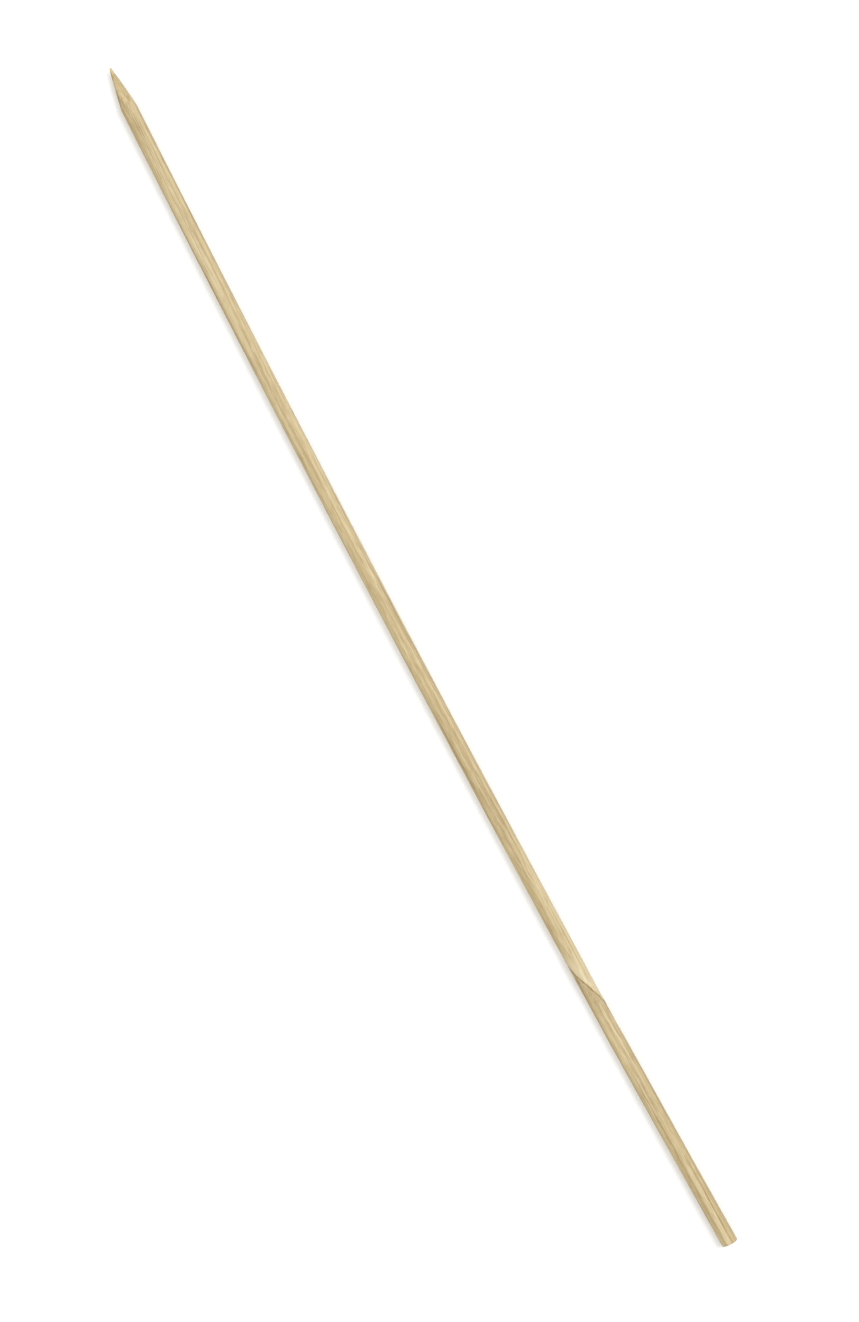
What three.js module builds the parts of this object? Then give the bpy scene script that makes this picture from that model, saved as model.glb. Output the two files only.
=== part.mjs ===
// A bamboo skewer: one stick, split from the culm, drawn round through a die, sawn square
// at the butt and ground to a point. It lies along X as it comes to rest on a table, with
// its skin side down, the point towards +X and the table at z = 0.
import * as THREE from "three";
import { mergeVertices } from "three/addons/utils/BufferGeometryUtils.js";

// Driving sizes, in millimetres and degrees
const skewerLength = 200;
const shaftDiameter = 2.5;
const skinFlatDepth = 0.09; // what the die left of the culm's outer wall, underneath
const pithFlatDepth = 0.06; // and of its inner side, on top
const pithFlatTurn = 22; // how far the pith flat is turned from straight up, towards -Y

const pointLength = 6.6;
const pointFullness = 0.88; // exponent of the point's side: 1 is a plain cone, less is fuller
const tipDiameter = 0.26;
const tipOffset = 0.14; // the point is ground a little off the stick's own axis
const buttEdgeRadius = 0.11;

const bowSag = 1.0; // the stick's natural curve, flat on the table
const nodeFromButt = 44.3; // the bamboo's knot
const nodeKink = 0.35; // turn of the stick at its knot
const nodeLength = 9; // stretch that the knot swells
const nodeRise = 0.1;
const scarWidth = 0.9; // the line across the knot where the leaf sheath sat
const scarDepth = 0.08;
const scarLean = 4.2; // how far the line leans along the stick, from the middle to a side
const scarWave = -0.6; // below zero, the line crosses the top more steeply than the sides
const pullPerLean = 2.4; // how far from the knot the surface is drawn along with the line

// Fineness of the surface
const sidesAround = 44;
const shaftStep = 4.5;
const nodeStep = 0.75;
const scarStep = 0.15;
const pointStep = 0.45;
const edgeSteps = 3;

const shaftRadius = shaftDiameter / 2;
const tipRadius = tipDiameter / 2;
const axisHeight = shaftRadius - skinFlatDepth;
const nodeReach = nodeLength / 2;
const scarPull = scarLean * pullPerLean;

// A half cosine that is 1 at zero and 0 from reach outwards.
function hump(distance, reach) {
  const share = Math.min(1, Math.abs(distance) / reach);
  return (1 + Math.cos(Math.PI * share)) / 2;
}

// Distance from the axis of a flat that faces a given way.
function flatRadius(angle, facing, depth) {
  const lean = Math.cos(angle - facing);
  return lean > 0 ? (shaftRadius - depth) / lean : Infinity;
}

// The shaft's section: a circle with the skin flat below and the pith flat above.
// The angle runs from +Y to +Z.
function sectionRadius(angle) {
  const down = -Math.PI / 2;
  const pithFacing = Math.PI / 2 + THREE.MathUtils.degToRad(pithFlatTurn);
  return Math.min(
    shaftRadius,
    flatRadius(angle, down, skinFlatDepth),
    flatRadius(angle, pithFacing, pithFlatDepth),
  );
}

// What sawing and grinding leave of the shaft, as a radius at a distance from the butt.
function groundRadius(fromButt) {
  const toTip = skewerLength - fromButt;
  let radius = shaftRadius;
  if (fromButt < buttEdgeRadius) {
    const short = buttEdgeRadius - fromButt;
    radius += Math.sqrt(buttEdgeRadius ** 2 - short ** 2) - buttEdgeRadius;
  }
  if (toTip < pointLength) {
    const share = (toTip / pointLength) ** pointFullness;
    radius = tipRadius + (shaftRadius - tipRadius) * share;
  }
  if (toTip < tipRadius) {
    radius *= Math.sqrt(1 - (1 - toTip / tipRadius) ** 2);
  }
  return radius;
}

// The knot swells the top and the sides, and its sheath scar is a shallow groove across it.
// The quarter that faces the table stays as the die left it.
function nodeSwell(fromNode, angle) {
  const clearOfTable = Math.max(0, (Math.sin(angle) + Math.SQRT1_2) / (1 + Math.SQRT1_2));
  const scar = scarDepth * hump(fromNode, scarWidth / 2);
  return clearOfTable * (nodeRise * hump(fromNode, nodeReach) - scar);
}

// The scar leans and waves round the stick, and the surface near it is drawn along with it.
function scarShift(fromNode, angle) {
  const line = scarLean * Math.cos(angle) + scarWave * Math.sin(2 * angle);
  return line * hump(fromNode, scarPull);
}

// The middle line of the stick, sideways on the table: its bow, the kink at the knot and
// the point's own offset.
function centreAcross(fromButt) {
  const fromMiddle = (2 * fromButt) / skewerLength - 1;
  const past = nodeFromButt - fromButt;
  const rounded = (past + Math.hypot(past, nodeReach)) / 2;
  const kink = Math.tan(THREE.MathUtils.degToRad(nodeKink)) * rounded;
  const intoPoint = 1 - (skewerLength - fromButt) / pointLength;
  return bowSag * (1 - fromMiddle ** 2) - kink - tipOffset * Math.max(0, intoPoint);
}

// Evenly spaced distances from start to end, both ends included.
function spread(start, end, step) {
  const count = Math.max(1, Math.ceil((end - start) / step));
  return Array.from({ length: count + 1 }, (_, i) => start + ((end - start) * i) / count);
}

// Distances from the butt at which the surface has a ring of points.
function ringPlaces() {
  const shoulder = skewerLength - pointLength;
  const nodeStart = nodeFromButt - scarPull;
  const nodeEnd = nodeFromButt + scarPull;
  const scarStart = nodeFromButt - scarWidth / 2;
  const scarEnd = nodeFromButt + scarWidth / 2;
  return [
    ...spread(0, buttEdgeRadius, buttEdgeRadius / edgeSteps),
    ...spread(buttEdgeRadius, nodeStart, shaftStep),
    ...spread(nodeStart, scarStart, nodeStep),
    ...spread(scarStart, scarEnd, scarStep),
    ...spread(scarEnd, nodeEnd, nodeStep),
    ...spread(nodeEnd, shoulder, shaftStep),
    ...spread(shoulder, skewerLength - tipRadius, pointStep),
    ...spread(skewerLength - tipRadius, skewerLength, tipRadius / edgeSteps),
  ].filter((place, i, all) => i === 0 || place > all[i - 1]);
}

// The turned form: a lathe profile from the middle of the butt to the tip.
function turnedStick() {
  const profile = [new THREE.Vector2(0, 0)];
  for (const place of ringPlaces()) {
    profile.push(new THREE.Vector2(groundRadius(place), place));
  }
  return new THREE.LatheGeometry(profile, sidesAround);
}

// Lays the turned form along X and gives it its flats, its knot and its bow.
function skewerGeometry() {
  const geometry = turnedStick();
  const point = geometry.getAttribute("position");
  for (let i = 0; i < point.count; i += 1) {
    const turned = Math.hypot(point.getX(i), point.getZ(i));
    const angle = Math.atan2(point.getX(i), point.getZ(i));
    const fromButt = point.getY(i);
    const fromNode = fromButt - nodeFromButt;
    const radius = Math.min(turned, sectionRadius(angle)) + nodeSwell(fromNode, angle);
    point.setXYZ(
      i,
      fromButt + scarShift(fromNode, angle),
      centreAcross(fromButt) + radius * Math.cos(angle),
      axisHeight + radius * Math.sin(angle),
    );
  }
  geometry.deleteAttribute("normal");
  geometry.deleteAttribute("uv");
  const closed = mergeVertices(geometry);

  // The origin is under the middle of the stick's box.
  closed.computeBoundingBox();
  const middle = closed.boundingBox.getCenter(new THREE.Vector3());
  closed.translate(-middle.x, -middle.y, 0);
  closed.computeVertexNormals();
  return closed;
}

function bambooMaterial() {
  return new THREE.MeshStandardMaterial({
    color: 0xd3bd8d,
    roughness: 0.55,
    metalness: 0,
  });
}

const skewer = new THREE.Mesh(skewerGeometry(), bambooMaterial());
skewer.name = "skewer";

const part = new THREE.Group();
part.name = "bamboo_skewer";
part.add(skewer);

export default part;
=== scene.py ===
import math

import bpy
import numpy as np
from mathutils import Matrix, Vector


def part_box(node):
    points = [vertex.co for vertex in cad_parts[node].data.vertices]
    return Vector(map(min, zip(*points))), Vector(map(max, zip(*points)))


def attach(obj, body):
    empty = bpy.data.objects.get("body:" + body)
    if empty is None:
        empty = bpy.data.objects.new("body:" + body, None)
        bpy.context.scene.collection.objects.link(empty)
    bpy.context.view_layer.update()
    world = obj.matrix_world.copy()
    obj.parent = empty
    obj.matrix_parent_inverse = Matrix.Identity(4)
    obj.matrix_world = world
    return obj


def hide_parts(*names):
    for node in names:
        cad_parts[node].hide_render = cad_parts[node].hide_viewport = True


# A bamboo skewer lying on a table: sawn butt towards -X, ground point towards +X.
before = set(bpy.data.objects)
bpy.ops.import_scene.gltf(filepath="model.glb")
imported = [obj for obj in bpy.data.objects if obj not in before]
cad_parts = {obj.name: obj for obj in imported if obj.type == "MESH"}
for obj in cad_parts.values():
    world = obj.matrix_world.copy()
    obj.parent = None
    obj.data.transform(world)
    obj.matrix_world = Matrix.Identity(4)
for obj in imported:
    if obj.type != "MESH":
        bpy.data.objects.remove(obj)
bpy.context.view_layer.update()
metresPerMm = 0.001
print("frame loaded")


class Wire:
    # A socket that can be added, subtracted and scaled like a number.
    def __init__(self, sheet, socket):
        self.sheet, self.socket = sheet, socket

    def maths(self, operation, first, second=0.0):
        return self.sheet.node("ShaderNodeMath", {"operation": operation}, {0: first, 1: second})

    def __add__(self, other):
        return self.maths("ADD", self, other)

    def __sub__(self, other):
        return self.maths("SUBTRACT", self, other)

    def __rsub__(self, other):
        return self.maths("SUBTRACT", other, self)

    def __mul__(self, other):
        return self.maths("MULTIPLY", self, other)

    def __abs__(self):
        return self.maths("ABSOLUTE", self)

    __radd__ = __add__
    __rmul__ = __mul__

    # Another output of the same node.
    def beside(self, out):
        return Wire(self.sheet, self.socket.node.outputs[out])


class NodeSheet:
    # One material's nodes.
    def __init__(self, tree):
        self.tree = tree
        tree.nodes.clear()

    # Adds a node: its settings first, then a value or a link for each socket.
    def node(self, kind, settings=None, sockets=None, out=0):
        made = self.tree.nodes.new(kind)
        for name, value in (settings or {}).items():
            setattr(made, name, value)
        for name, value in (sockets or {}).items():
            if isinstance(value, Wire):
                self.tree.links.new(value.socket, made.inputs[name])
            else:
                made.inputs[name].default_value = value
        return Wire(self, made.outputs[out]) if made.outputs else made

    # 0 below start, 1 above end, smooth between them; end may be the lower one.
    def ease(self, value, start, end):
        return self.node(
            "ShaderNodeMapRange",
            {"interpolation_type": "SMOOTHSTEP"},
            {"Value": value, "From Min": start, "From Max": end},
        )

    def blend(self, share, first, second):
        sockets = {0: share, 6: first, 7: second}
        return self.node("ShaderNodeMix", {"data_type": "RGBA"}, sockets, out=2)

    # 1 where both slopes are full; each slope is where it starts and where it is full.
    def band(self, value, rise, fall):
        return self.ease(value, *rise) * self.ease(value, *fall)

    # Cloudy pattern from 0 to 1, with a mean near a half.
    def cloud(self, place, scale, shift, detail, roughness=0.5):
        mapping = {"Vector": place, "Scale": scale, "Location": shift}
        stretched = self.node("ShaderNodeMapping", {}, mapping)
        sockets = {"Vector": stretched, "Scale": 1.0, "Detail": detail, "Roughness": roughness}
        return self.node("ShaderNodeTexNoise", {}, sockets)

    # Bundles of fibre run the whole length, so they are the cells of a flat section.
    def cells(self, section, spacing, randomness):
        sockets = {"Vector": section, "Scale": 1 / spacing, "Randomness": randomness}
        return self.node("ShaderNodeTexVoronoi", {"voronoi_dimensions": "2D"}, sockets)


# Sizes in millimetres, measured from the butt; turns in degrees
stick = {
    "length": 200.0,
    "diameter": 2.5,
    "skinFlat": 0.09,
    "pithFlat": 0.06,
    "pithTurn": 22.0,
    "pointLength": 6.6,
    "pointFullness": 0.88,
    "tipDiameter": 0.26,
    "tipOffset": 0.14,
    "buttEdge": 0.11,
    "bow": 1.0,
    "nodeFromButt": 44.3,
    "nodeKink": 0.35,
    "nodeLength": 9.0,
    "nodeRise": 0.1,
    "scarWidth": 0.9,
    "scarDepth": 0.08,
    "scarLean": 4.2,
    "scarWave": -0.6,
    "pullPerLean": 2.4,
    # Fineness: points round the stick, rings on the sawn face and on a rounding, steps along,
    # and gaps where one run of rings gives way to the next
    "sidesAround": 128,
    "faceRings": 22,
    "faceShares": (0.04, 0.985),
    "roundingRings": 8,
    "buttGap": 0.1,
    "buttEnd": 1.2,
    "buttStep": 0.12,
    "shaftStart": 1.4,
    "shaftStep": 0.55,
    "nodeStep": 0.09,
    "shaftEndGap": 0.5,
    "pointLead": 0.4,
    "pointStep": 0.045,
    # Grooves: their depth, and lowest and highest wave count round the stick, how many, drift
    "fibreGroove": 0.022,
    "fibreWaves": (8, 46, 26, 0.06),
    "nodeRoughening": 0.9,
    "grindGroove": 0.012,
    "grindWaves": (2, 12, 14, 1.0),
    "grindCloseness": 9,
    "grindFadeIn": 0.6,
    "tipFadeOut": 1.2,
    "waveTurns": (0.02, 0.09),
    "waveSpread": 3,
    "seed": 11,
    # The grain's slow waves: reach, slowness and start of each
    "grainAcross": ((0.34, 31, 0.6), (0.08, 8.3, 0)),
    "grainUp": ((0.34, 43, 2.1), (0.06, 11.9, 1)),
    # Its swirl at the knot: reach, share of the knot's length, and twist across and up
    "nodeSwirl": 0.3,
    "swirlShare": 0.8,
    "swirlTwists": (0.4, -0.6),
}

radius = stick["diameter"] / 2
tipRadius = stick["tipDiameter"] / 2
nodeReach = stick["nodeLength"] / 2
scarPull = stick["scarLean"] * stick["pullPerLean"]
axisHeight = radius - stick["skinFlat"]


# Half a cosine: 1 at no distance, 0 from reach outwards.
def hump(distance, reach):
    return (1 + np.cos(np.pi * np.minimum(1, np.abs(distance) / reach))) / 2


# Section of the shaft: a circle, cut by the skin flat below and the pith flat above.
def sectionRadius(angle):
    edge = np.full_like(angle, radius)
    pithFacing = math.pi / 2 + math.radians(stick["pithTurn"])
    for facing, depth in ((-math.pi / 2, stick["skinFlat"]), (pithFacing, stick["pithFlat"])):
        lean = np.maximum(1e-6, np.cos(angle - facing))
        edge = np.minimum(edge, (radius - depth) / lean)
    return edge


# Radius that sawing and grinding leave: a rounded butt edge, then the full shaft, then a power
# of the distance to the tip, times a quarter circle where the tip is rounded off.
def groundRadius(fromButt):
    toTip = np.maximum(0, stick["length"] - fromButt)
    short = np.clip(stick["buttEdge"] - fromButt, 0, stick["buttEdge"])
    ground = radius - stick["buttEdge"] + np.sqrt(stick["buttEdge"] ** 2 - short**2)
    share = np.minimum(1, toTip / stick["pointLength"]) ** stick["pointFullness"]
    ground = np.minimum(ground, tipRadius + (radius - tipRadius) * share)
    blunt = 1 - np.minimum(1, toTip / tipRadius)
    return ground * np.sqrt(1 - blunt**2)


# The knot: a low hump on the top and the sides less the groove of its sheath scar.
def nodeSwell(fromNode, angle):
    quarter = math.sqrt(0.5)
    clearOfTable = np.maximum(0, (np.sin(angle) + quarter) / (1 + quarter))
    scar = stick["scarDepth"] * hump(fromNode, stick["scarWidth"] / 2)
    return clearOfTable * (stick["nodeRise"] * hump(fromNode, nodeReach) - scar)


# How far the scar line leans and waves along the stick, at each turn of the angle.
def scarShift(fromNode, angle):
    line = stick["scarLean"] * np.cos(angle) + stick["scarWave"] * np.sin(2 * angle)
    return line * hump(fromNode, scarPull)


# Sideways place of the stick's middle: its bow, less the kink at the knot and the point's offset.
def centreAcross(fromButt):
    fromMiddle = 2 * fromButt / stick["length"] - 1
    past = stick["nodeFromButt"] - fromButt
    kink = math.tan(math.radians(stick["nodeKink"])) * (past + np.hypot(past, nodeReach)) / 2
    intoPoint = np.maximum(0, 1 - (stick["length"] - fromButt) / stick["pointLength"])
    return stick["bow"] * (1 - fromMiddle**2) - kink - stick["tipOffset"] * intoPoint


# Waves round the stick that each drift slowly along it, summed and scaled to run from 0 to 1.
def fibreLines(fromButt, angle, waves, seed):
    lowest, highest, count, drift = waves
    dice = np.random.default_rng(seed)
    total = np.zeros_like(angle)
    for wave in dice.integers(lowest, highest, count):
        start, pull = dice.uniform(0, 2 * math.pi), dice.uniform(-1, 1)
        sway = np.sin(dice.uniform(*stick["waveTurns"]) * fromButt + start)
        total += np.sin(wave * angle + start + pull * drift * fromButt + sway)
    return np.clip(0.5 + total / math.sqrt(count) / stick["waveSpread"], 0, 1)


# How deep the drawn fibres and the grinding leave the surface below the smooth form.
def grooves(fromButt, angle):
    fromNode = fromButt - stick["nodeFromButt"]
    fromShoulder = fromButt - stick["length"] + stick["pointLength"]
    closer = fromButt * stick["grindCloseness"]
    fibres = fibreLines(fromButt, angle, stick["fibreWaves"], stick["seed"])
    scratches = fibreLines(closer, angle, stick["grindWaves"], stick["seed"] + 1)
    onPoint = np.clip(fromShoulder / stick["grindFadeIn"], 0, 1)
    thinning = np.clip((stick["length"] - fromButt) / stick["tipFadeOut"], 0, 1)
    rougher = 1 + stick["nodeRoughening"] * hump(fromNode, nodeReach)
    depth = stick["fibreGroove"] * rougher * fibres**2
    return thinning * (depth + stick["grindGroove"] * onPoint * scratches)


# Points of the surface for arrays of distance from the butt and angle from +Y to +Z.
def surfacePoints(fromButt, angle, inward, carve):
    fromNode = fromButt - stick["nodeFromButt"]
    edge = np.minimum(groundRadius(fromButt), sectionRadius(angle)) + nodeSwell(fromNode, angle)
    reach = inward * (edge - carve * grooves(fromButt, angle))
    along = fromButt + scarShift(fromNode, angle)
    across = centreAcross(fromButt) + reach * np.cos(angle)
    up = axisHeight + reach * np.sin(angle)
    return np.stack([along, across, up], axis=-1), reach


# Rings from the middle of the butt to the tip: place along the stick and share of the radius.
def ringPlaces():
    length, edge = stick["length"], stick["buttEdge"]
    shoulder = length - stick["pointLength"]
    nodeStart, nodeEnd = stick["nodeFromButt"] - nodeReach, stick["nodeFromButt"] + nodeReach
    face = np.linspace(*stick["faceShares"], stick["faceRings"])
    rounding = np.cos(np.linspace(0, math.pi / 2, stick["roundingRings"]))
    runs = [
        edge * (1 - rounding),
        np.arange(edge + stick["buttGap"], stick["buttEnd"], stick["buttStep"]),
        np.arange(stick["shaftStart"], nodeStart, stick["shaftStep"]),
        np.arange(nodeStart, nodeEnd, stick["nodeStep"]),
        np.arange(nodeEnd, shoulder - stick["shaftEndGap"], stick["shaftStep"]),
        np.arange(shoulder - stick["pointLead"], length - tipRadius, stick["pointStep"]),
        length - tipRadius * rounding[:-1],
    ]
    along = np.concatenate(runs)
    places = np.concatenate([np.zeros(len(face)), along])
    inward = np.concatenate([face, np.ones(len(along))])
    return places, inward


# Rings joined by four-sided faces, with a fan of triangles at each end.
def ringFaces(ringCount, around):
    row, column = np.meshgrid(np.arange(ringCount - 1), np.arange(around), indexing="ij")
    following = (column + 1) % around
    corners = [row * around + column, row * around + following]
    corners += [(row + 1) * around + following, (row + 1) * around + column]
    quads = np.stack(corners, axis=-1).reshape(-1, 4)
    turn = np.arange(around)
    following = (turn + 1) % around
    first, last = ringCount * around, ringCount * around + 1
    top = (ringCount - 1) * around
    fans = [
        np.stack([np.full(around, first), following, turn], axis=-1),
        np.stack([np.full(around, last), top + turn, top + following], axis=-1),
    ]
    return quads.tolist() + np.concatenate(fans).tolist()


# Sine waves along the stick, summed.
def slowWaves(fromButt, waves):
    return sum(reach * np.sin(fromButt / slowness + start) for reach, slowness, start in waves)


# Where each point lies in the bamboo's own straight grain, in millimetres: the bow is taken
# out, the fibres drift slowly across the stick, and they swirl at the knot.
def grainPlaces(fromButt, angle, reach):
    fromNode = fromButt - stick["nodeFromButt"]
    swirl = stick["nodeSwirl"] * hump(fromNode, nodeReach * stick["swirlShare"])
    twistAcross, twistUp = stick["swirlTwists"]
    drift, lift = (slowWaves(fromButt, stick[waves]) for waves in ("grainAcross", "grainUp"))
    across = reach * np.cos(angle) + drift + swirl * np.sin(2 * angle + twistAcross * fromNode)
    up = reach * np.sin(angle) + lift + swirl * np.cos(3 * angle + twistUp * fromNode)
    return np.stack([fromButt, across, up], axis=-1)


def makeStick():
    places, inward = ringPlaces()
    around = stick["sidesAround"]
    angles = np.arange(around) * 2 * math.pi / around
    fromButt, angle = np.meshgrid(places, angles, indexing="ij")
    share = np.repeat(inward[:, None], around, axis=1)

    # The smooth form sits in the middle of the solid's box, and the carved one goes where it is.
    smooth, _ = surfacePoints(fromButt, angle, share, 0)
    low, high = smooth.reshape(-1, 3).min(axis=0), smooth.reshape(-1, 3).max(axis=0)
    boxLow, boxHigh = (np.array(corner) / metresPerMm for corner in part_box("skewer"))
    aside = (boxLow + boxHigh - low - high)[1] / 2
    shift = np.array([-stick["length"] / 2, aside, boxLow[2]])

    carved, reach = surfacePoints(fromButt, angle, share, 1)
    ends = np.array([0.0, stick["length"]])
    poles = np.stack([ends, centreAcross(ends), np.full(2, axisHeight)], axis=-1)
    points = np.concatenate([carved.reshape(-1, 3), poles]) + shift
    poleGrain = grainPlaces(ends, np.zeros(2), np.zeros(2))
    grain = np.concatenate([grainPlaces(fromButt, angle, reach).reshape(-1, 3), poleGrain])

    mesh = bpy.data.meshes.new("skewerStick")
    faces = ringFaces(len(places), around)
    mesh.from_pydata((points * metresPerMm).tolist(), [], faces)
    mesh.polygons.foreach_set("use_smooth", np.ones(len(faces), bool))
    mesh.attributes.new("grain", "FLOAT_VECTOR", "POINT").data.foreach_set("vector", grain.ravel())
    mesh.update()
    made = bpy.data.objects.new("skewerStick", mesh)
    bpy.context.scene.collection.objects.link(made)
    print("stick:", len(points), "points")
    return made, shift


# Colours are linear; spacings, widths and reaches in millimetres. A slope is given by where it
# starts and where it is full, and a span by its scale and its offset.
bamboo = {
    "pale": (0.78, 0.635, 0.365, 1),
    "bright": (0.84, 0.73, 0.49, 1),
    "straw": (0.61, 0.465, 0.23, 1),
    "fibre": (0.34, 0.225, 0.085, 1),
    "knot": (0.30, 0.19, 0.075, 1),
    "skin": (0.60, 0.475, 0.215, 1),
    "pore": (0.17, 0.105, 0.04, 1),
    # Cloudy patterns: waves to a millimetre along, across and up, then shift, detail, roughness
    "clouds": {
        "uneven": ((0, 4.5, 4.5), (4, 4, 4), 2),
        "broad": ((0.022, 0.75, 0.75), (3, 1, 5), 2),
        "streaks": ((0.05, 2.6, 2.6), (7, 2, 0), 3),
        "hairs": ((0.35, 17, 17), (1, 8, 3), 4, 0.6),
        "flecks": ((0.45, 7.5, 7.5), (5, 2, 7), 3, 0.6),
        "fading": ((0.09, 1.4, 1.4), (0, 4, 9), 2),
        "wobble": ((0.3, 1.1, 1.1), (2, 2, 2), 3),
    },
    # Bundles and strands: spacing, and slopes in shares of it towards a cell's middle
    "bundleSpacing": 0.56,
    "strandSpacing": 0.19,
    "cellRandomness": 0.9,
    "unevenSpan": (0.16, -0.08),
    "bundleSlope": (0.33, 0.2),
    "poreSlope": (0.1, 0.05),
    "strandSlope": (0.42, 0.18),
    "toneSpan": (0.7, 0.25),
    "fadingSlope": (0.36, 0.6),
    "fadingSpan": (0.7, 0.3),
    # The ground goes from straw to pale in broad clouds, with the culm's skin low on the stick
    "broadSlope": (0.3, 0.7),
    "skinSlope": (-0.2, -1.1),
    "skinStrength": 0.5,
    "bundleStrength": 0.85,
    "strandStrength": 0.26,
    # Tints laid on in turn: pattern, its slope, strength and colour
    "grainTints": (
        ("streaks", (0.5, 0.72), 0.5, "fibre"),
        ("hairs", (0.52, 0.8), 0.34, "fibre"),
        ("hairs", (0.42, 0.2), 0.25, "pale"),
        ("flecks", (0.52, 0.68), 0.42, "fibre"),
        ("flecks", (0.5, 0.28), 0.5, "bright"),
    ),
    # Single lines: dark lines of the grain, and pale lines that are painted highlights along
    # ridges; place across, start and end from the butt, half width, strength
    "darkLines": (
        (-0.72, 2, 40, 0.07, 0.6),
        (0.35, 60, 128, 0.05, 0.5),
        (-0.3, 96, 190, 0.06, 0.45),
    ),
    # Pale lines: painted highlights along ridges of the upper side
    "paintedRidgeHighlights": ((-0.12, 24, 42, 0.12, 0.5), (0.1, 130, 176, 0.14, 0.35)),
    "lineCore": 0.2,
    "lineFade": 5,
    "upperSlope": (-0.1, 0.4),
    # The knot: slopes over the distance past it, and how much each pattern shows there
    "wobbleSpan": (1.8, -0.9),
    "swellingFull": 0.8,
    # Painted highlight of the swelling past the knot, laid into the colour: its slopes, and how
    # much each pattern adds to it
    "paintedHighlightSlopes": ((0.1, 1.1), (6.4, 1.6)),
    "paintedHighlightWeights": {"streaks": 1.3, "flecks": -0.35},
    "dullSlopes": ((-0.1, -0.7), (-6.0, -2.0)),
    "dullTints": (
        ("streaks", (0.62, 0.4), 0.4, "fibre"),
        ("hairs", (0.55, 0.68), 0.5, "bright"),
    ),
    "scarSlope": (0.5, 0.1),
    "scarHairSlope": (0.3, 0.6),
    "scarHairSpan": (0.6, 0.4),
    "scarStrength": 0.85,
    # The sawn end and the ground point
    "sawnSlope": (0.1, 0.02),
    "sawnBase": 0.06,
    "sawnWeights": {"bundles": 0.36, "strands": 0.16},
    "poreStrength": 0.8,
    "sawWaves": (38, 17),
    "sawHeight": 0.2,
    "groundFromTip": 5.4,  # from here on to the tip, the point is all ground
    # The surface's own roughness and relief, and what each pattern adds to them
    "roughness": 0.42,
    "roughnessWeights": {"hairs": 0.12, "lines": 0.1, "swelling": -0.1, "cut": 0.16},
    "reliefWeights": {"hairs": 0.6, "streaks": 0.5, "bundles": -0.4, "scar": -0.6},
    "bumpStrength": 0.7,
    "bumpMetres": 0.00003,
}


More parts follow.
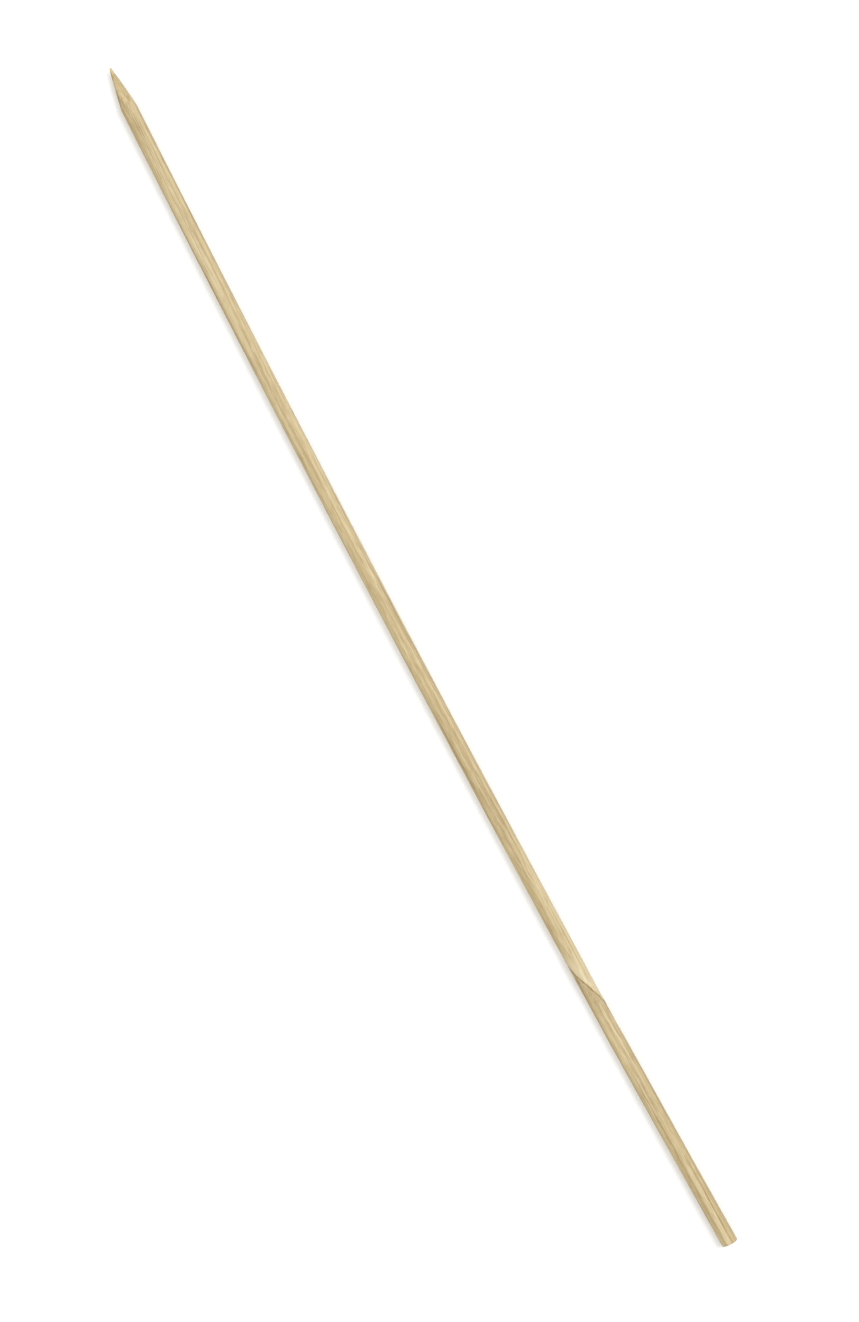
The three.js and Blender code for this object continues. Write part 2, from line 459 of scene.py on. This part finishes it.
def makeBamboo():
    material = bpy.data.materials.new("drawnBamboo")
    material.use_nodes = True
    sheet = NodeSheet(material.node_tree)
    grain = sheet.node("ShaderNodeAttribute", {"attribute_name": "grain"}, out="Vector")
    fromButt = sheet.node("ShaderNodeSeparateXYZ", {}, {0: grain})
    across, up = fromButt.beside("Y"), fromButt.beside("Z")
    patterns = {name: sheet.cloud(grain, *sizes) for name, sizes in bamboo["clouds"].items()}

    # A pattern scaled and offset, eased along a slope, or summed with others by weight.
    def spanned(pattern, name):
        scale, offset = bamboo[name]
        return pattern * scale + offset

    def eased(pattern, name):
        return sheet.ease(pattern, *bamboo[name])

    def weighed(name, base=0):
        parts = (patterns[pattern] * weight for pattern, weight in bamboo[name].items())
        return sum(parts, base)

    # A list of tints laid on a colour, one after the other.
    def tinted(colour, name, where=1):
        for pattern, slope, strength, tint in bamboo[name]:
            share = sheet.ease(patterns[pattern], *slope) * where * strength
            colour = sheet.blend(share, colour, bamboo[tint])
        return colour

    # The bundles show as lines on the shaft and dots on the butt.
    uneven = spanned(patterns["uneven"], "unevenSpan")
    section = sheet.node("ShaderNodeCombineXYZ", {}, {0: across + uneven, 1: up - uneven})
    cells = sheet.cells(section, bamboo["bundleSpacing"], bamboo["cellRandomness"])
    strandCells = sheet.cells(section, bamboo["strandSpacing"], bamboo["cellRandomness"])
    tone = sheet.node("ShaderNodeSeparateColor", {}, {0: cells.beside("Color")})
    fading = eased(patterns["fading"], "fadingSlope")
    pores = eased(cells, "poreSlope")
    patterns["bundles"] = eased(cells, "bundleSlope")
    patterns["strands"] = eased(strandCells, "strandSlope")
    bundleTone = spanned(tone, "toneSpan")
    patterns["lines"] = patterns["bundles"] * bundleTone * spanned(fading, "fadingSpan")

    colour = sheet.blend(eased(patterns["broad"], "broadSlope"), bamboo["straw"], bamboo["pale"])
    skinSide = eased(up, "skinSlope") * bamboo["skinStrength"]
    colour = sheet.blend(skinSide, colour, bamboo["skin"])
    colour = sheet.blend(patterns["lines"] * bamboo["bundleStrength"], colour, bamboo["fibre"])
    colour = sheet.blend(patterns["strands"] * bamboo["strandStrength"], colour, bamboo["fibre"])
    colour = tinted(colour, "grainTints")

    # Single lines that show along the upper side, each fading out at its ends: dark grain lines,
    # and pale lines that are painted highlights along ridges.
    upper, fade = eased(up, "upperSlope"), bamboo["lineFade"]
    for marks, tint in (("darkLines", "fibre"), ("paintedRidgeHighlights", "bright")):
        for place, start, end, width, strength in bamboo[marks]:
            line = sheet.ease(abs(across - place), width, width * bamboo["lineCore"])
            ends = sheet.band(fromButt, (start, start + fade), (end, end - fade))
            colour = sheet.blend(line * ends * upper * strength, colour, bamboo[tint])

    # The knot: a painted highlight of its swelling on its far side, a duller stretch with pale
    # threads on its near side, and between them the brown line of the sheath scar.
    pastNode = fromButt + spanned(patterns["wobble"], "wobbleSpan") - stick["nodeFromButt"]
    fromNode = abs(pastNode)
    patterns["swelling"] = sheet.ease(fromNode, nodeReach, bamboo["swellingFull"])
    # Painted highlight: the colour is brightened past the knot, where its swelling would catch the
    # light
    paintedHighlight = sheet.band(pastNode, *bamboo["paintedHighlightSlopes"])
    colour = sheet.blend(paintedHighlight * weighed("paintedHighlightWeights"), colour, bamboo["bright"])
    colour = tinted(colour, "dullTints", sheet.band(pastNode, *bamboo["dullSlopes"]))
    scarHairs = spanned(eased(patterns["hairs"], "scarHairSlope"), "scarHairSpan")
    patterns["scar"] = eased(fromNode, "scarSlope") * scarHairs
    colour = sheet.blend(patterns["scar"] * bamboo["scarStrength"], colour, bamboo["knot"])

    # The sawn end shows the bundles with their open pores, under faint saw marks.
    onButt = eased(fromButt, "sawnSlope")
    onBundles = onButt * weighed("sawnWeights", bamboo["sawnBase"])
    colour = sheet.blend(onBundles, colour, bamboo["fibre"])
    colour = sheet.blend(onButt * pores * bamboo["poreStrength"], colour, bamboo["pore"])
    wavesAcross, wavesUp = bamboo["sawWaves"]
    sawAngle = across * wavesAcross + up * wavesUp
    sawMarks = sheet.node("ShaderNodeMath", {"operation": "SINE"}, {0: sawAngle})

    shoulder = stick["length"] - stick["pointLength"]
    ground = stick["length"] - bamboo["groundFromTip"]
    patterns["cut"] = onButt + sheet.ease(fromButt, shoulder, ground)
    roughness = weighed("roughnessWeights", bamboo["roughness"])
    relief = weighed("reliefWeights") + onButt * (sawMarks * bamboo["sawHeight"] - pores)
    bumpSockets = {"Strength": bamboo["bumpStrength"], "Distance": bamboo["bumpMetres"]}
    bump = sheet.node("ShaderNodeBump", {}, bumpSockets | {"Height": relief})
    sockets = {"Base Color": colour, "Roughness": roughness, "Normal": bump}
    shader = sheet.node("ShaderNodeBsdfPrincipled", {}, sockets)
    sheet.node("ShaderNodeOutputMaterial", {}, {0: shader})
    return material


skewerStick, stickShift = makeStick()
skewerStick.data.materials.append(makeBamboo())
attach(skewerStick, "root")
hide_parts("skewer")
print("bamboo on the stick")


# Places are pixels of the picture, or metres
studio = {
    "imageSize": (859, 1322),
    "tipPixel": (110, 68),
    "buttPixel": (730, 1243),
    "lens": 80.0,
    "sensor": 36.0,
    "clip": (0.01, 20),
    "floorSize": 4.0,
    "floorColour": (0.82, 0.82, 0.82, 1),
    "floorGlow": 0.29,
    "skyStrength": 0.46,
    "horizonGlow": 0.42,
    "horizonSlope": (0.3, 1.3),
    # Each lamp: power, size, distance, height above the table and turn in the picture
    "lamps": {
        "keyLamp": (10.7, 0.7, 1.4, 60.0, 35.0),
        "fillLamp": (5.0, 1.0, 1.5, 48.0, 195.0),
    },
}


# The camera looks straight down. Seen as complex numbers, picture = ratio * (table - camera),
# so the two ends of the stick give the turn, the height and the place.
def placeCamera():
    ends = np.array([0.0, stick["length"]])
    across = centreAcross(ends) + stickShift[1]
    butt, tip = (ends + stickShift[0] + 1j * across) * metresPerMm
    wide, high = studio["imageSize"]
    buttPixel, tipPixel = (
        complex(x - wide / 2, high / 2 - y) for x, y in (studio["buttPixel"], studio["tipPixel"])
    )
    ratio = (tipPixel - buttPixel) / (tip - butt)
    centre = (tip + butt) / 2 - (tipPixel + buttPixel) / 2 / ratio
    away = high * studio["lens"] / studio["sensor"] / abs(ratio)
    data = bpy.data.cameras.new("camera")
    data.lens, data.sensor_width = studio["lens"], studio["sensor"]
    data.clip_start, data.clip_end = studio["clip"]
    camera = bpy.data.objects.new("camera", data)
    camera.location = (centre.real, centre.imag, away + axisHeight * metresPerMm)
    camera.rotation_euler = (0, 0, -np.angle(ratio))
    bpy.context.scene.collection.objects.link(camera)
    bpy.context.scene.camera = camera
    print("camera", round(away, 4), "m above the stick")
    return -np.angle(ratio)


def makeFloor():
    half = studio["floorSize"] / 2
    mesh = bpy.data.meshes.new("table")
    corners = [(-half, -half, 0), (half, -half, 0), (half, half, 0), (-half, half, 0)]
    mesh.from_pydata(corners, [], [(0, 1, 2, 3)])
    floor = bpy.data.objects.new("table", mesh)
    bpy.context.scene.collection.objects.link(floor)
    material = bpy.data.materials.new("paleTable")
    material.use_nodes = True
    sheet = NodeSheet(material.node_tree)
    paper = sheet.node("ShaderNodeBsdfDiffuse", {}, {"Color": studio["floorColour"]})
    seen = sheet.node("ShaderNodeLightPath", {}, {}, out="Is Camera Ray")
    place = sheet.node("ShaderNodeTexCoord", {}, {}, out="Object")
    away = sheet.node("ShaderNodeVectorMath", {"operation": "LENGTH"}, {0: place}, out="Value")
    farther = studio["horizonGlow"] * sheet.ease(away, *studio["horizonSlope"])
    strength = seen * (studio["floorGlow"] + farther)
    glow = sheet.node("ShaderNodeEmission", {}, {"Color": (1, 1, 1, 1), "Strength": strength})
    both = sheet.node("ShaderNodeAddShader", {}, {0: paper, 1: glow})
    sheet.node("ShaderNodeOutputMaterial", {}, {0: both})
    mesh.materials.append(material)


def makeSky():
    world = bpy.data.worlds.new("sky")
    bpy.context.scene.world = world
    world.use_nodes = True
    sheet = NodeSheet(world.node_tree)
    seen = sheet.node("ShaderNodeLightPath", {}, {}, out="Is Camera Ray")
    strength = studio["skyStrength"] + seen * (1 - studio["skyStrength"])
    back = sheet.node("ShaderNodeBackground", {}, {"Color": (1, 1, 1, 1), "Strength": strength})
    sheet.node("ShaderNodeOutputWorld", {}, {0: back})


# A soft square lamp that faces the middle of the table.
def makeLamp(name, power, size, distance, height, side, cameraTurn):
    data = bpy.data.lights.new(name, "AREA")
    data.energy, data.size = power, size
    lamp = bpy.data.objects.new(name, data)
    up, around = math.radians(height), cameraTurn + math.radians(side)
    flat = distance * math.cos(up)
    lamp.location = (flat * math.cos(around), flat * math.sin(around), distance * math.sin(up))
    lamp.rotation_euler = (math.pi / 2 - up, 0, around + math.pi / 2)
    bpy.context.scene.collection.objects.link(lamp)


cameraTurn = placeCamera()
makeFloor()
makeSky()
for lampName, lampSizes in studio["lamps"].items():
    makeLamp(lampName, *lampSizes, cameraTurn)
bpy.context.scene.view_settings.view_transform = "Standard"

print("scene ready")
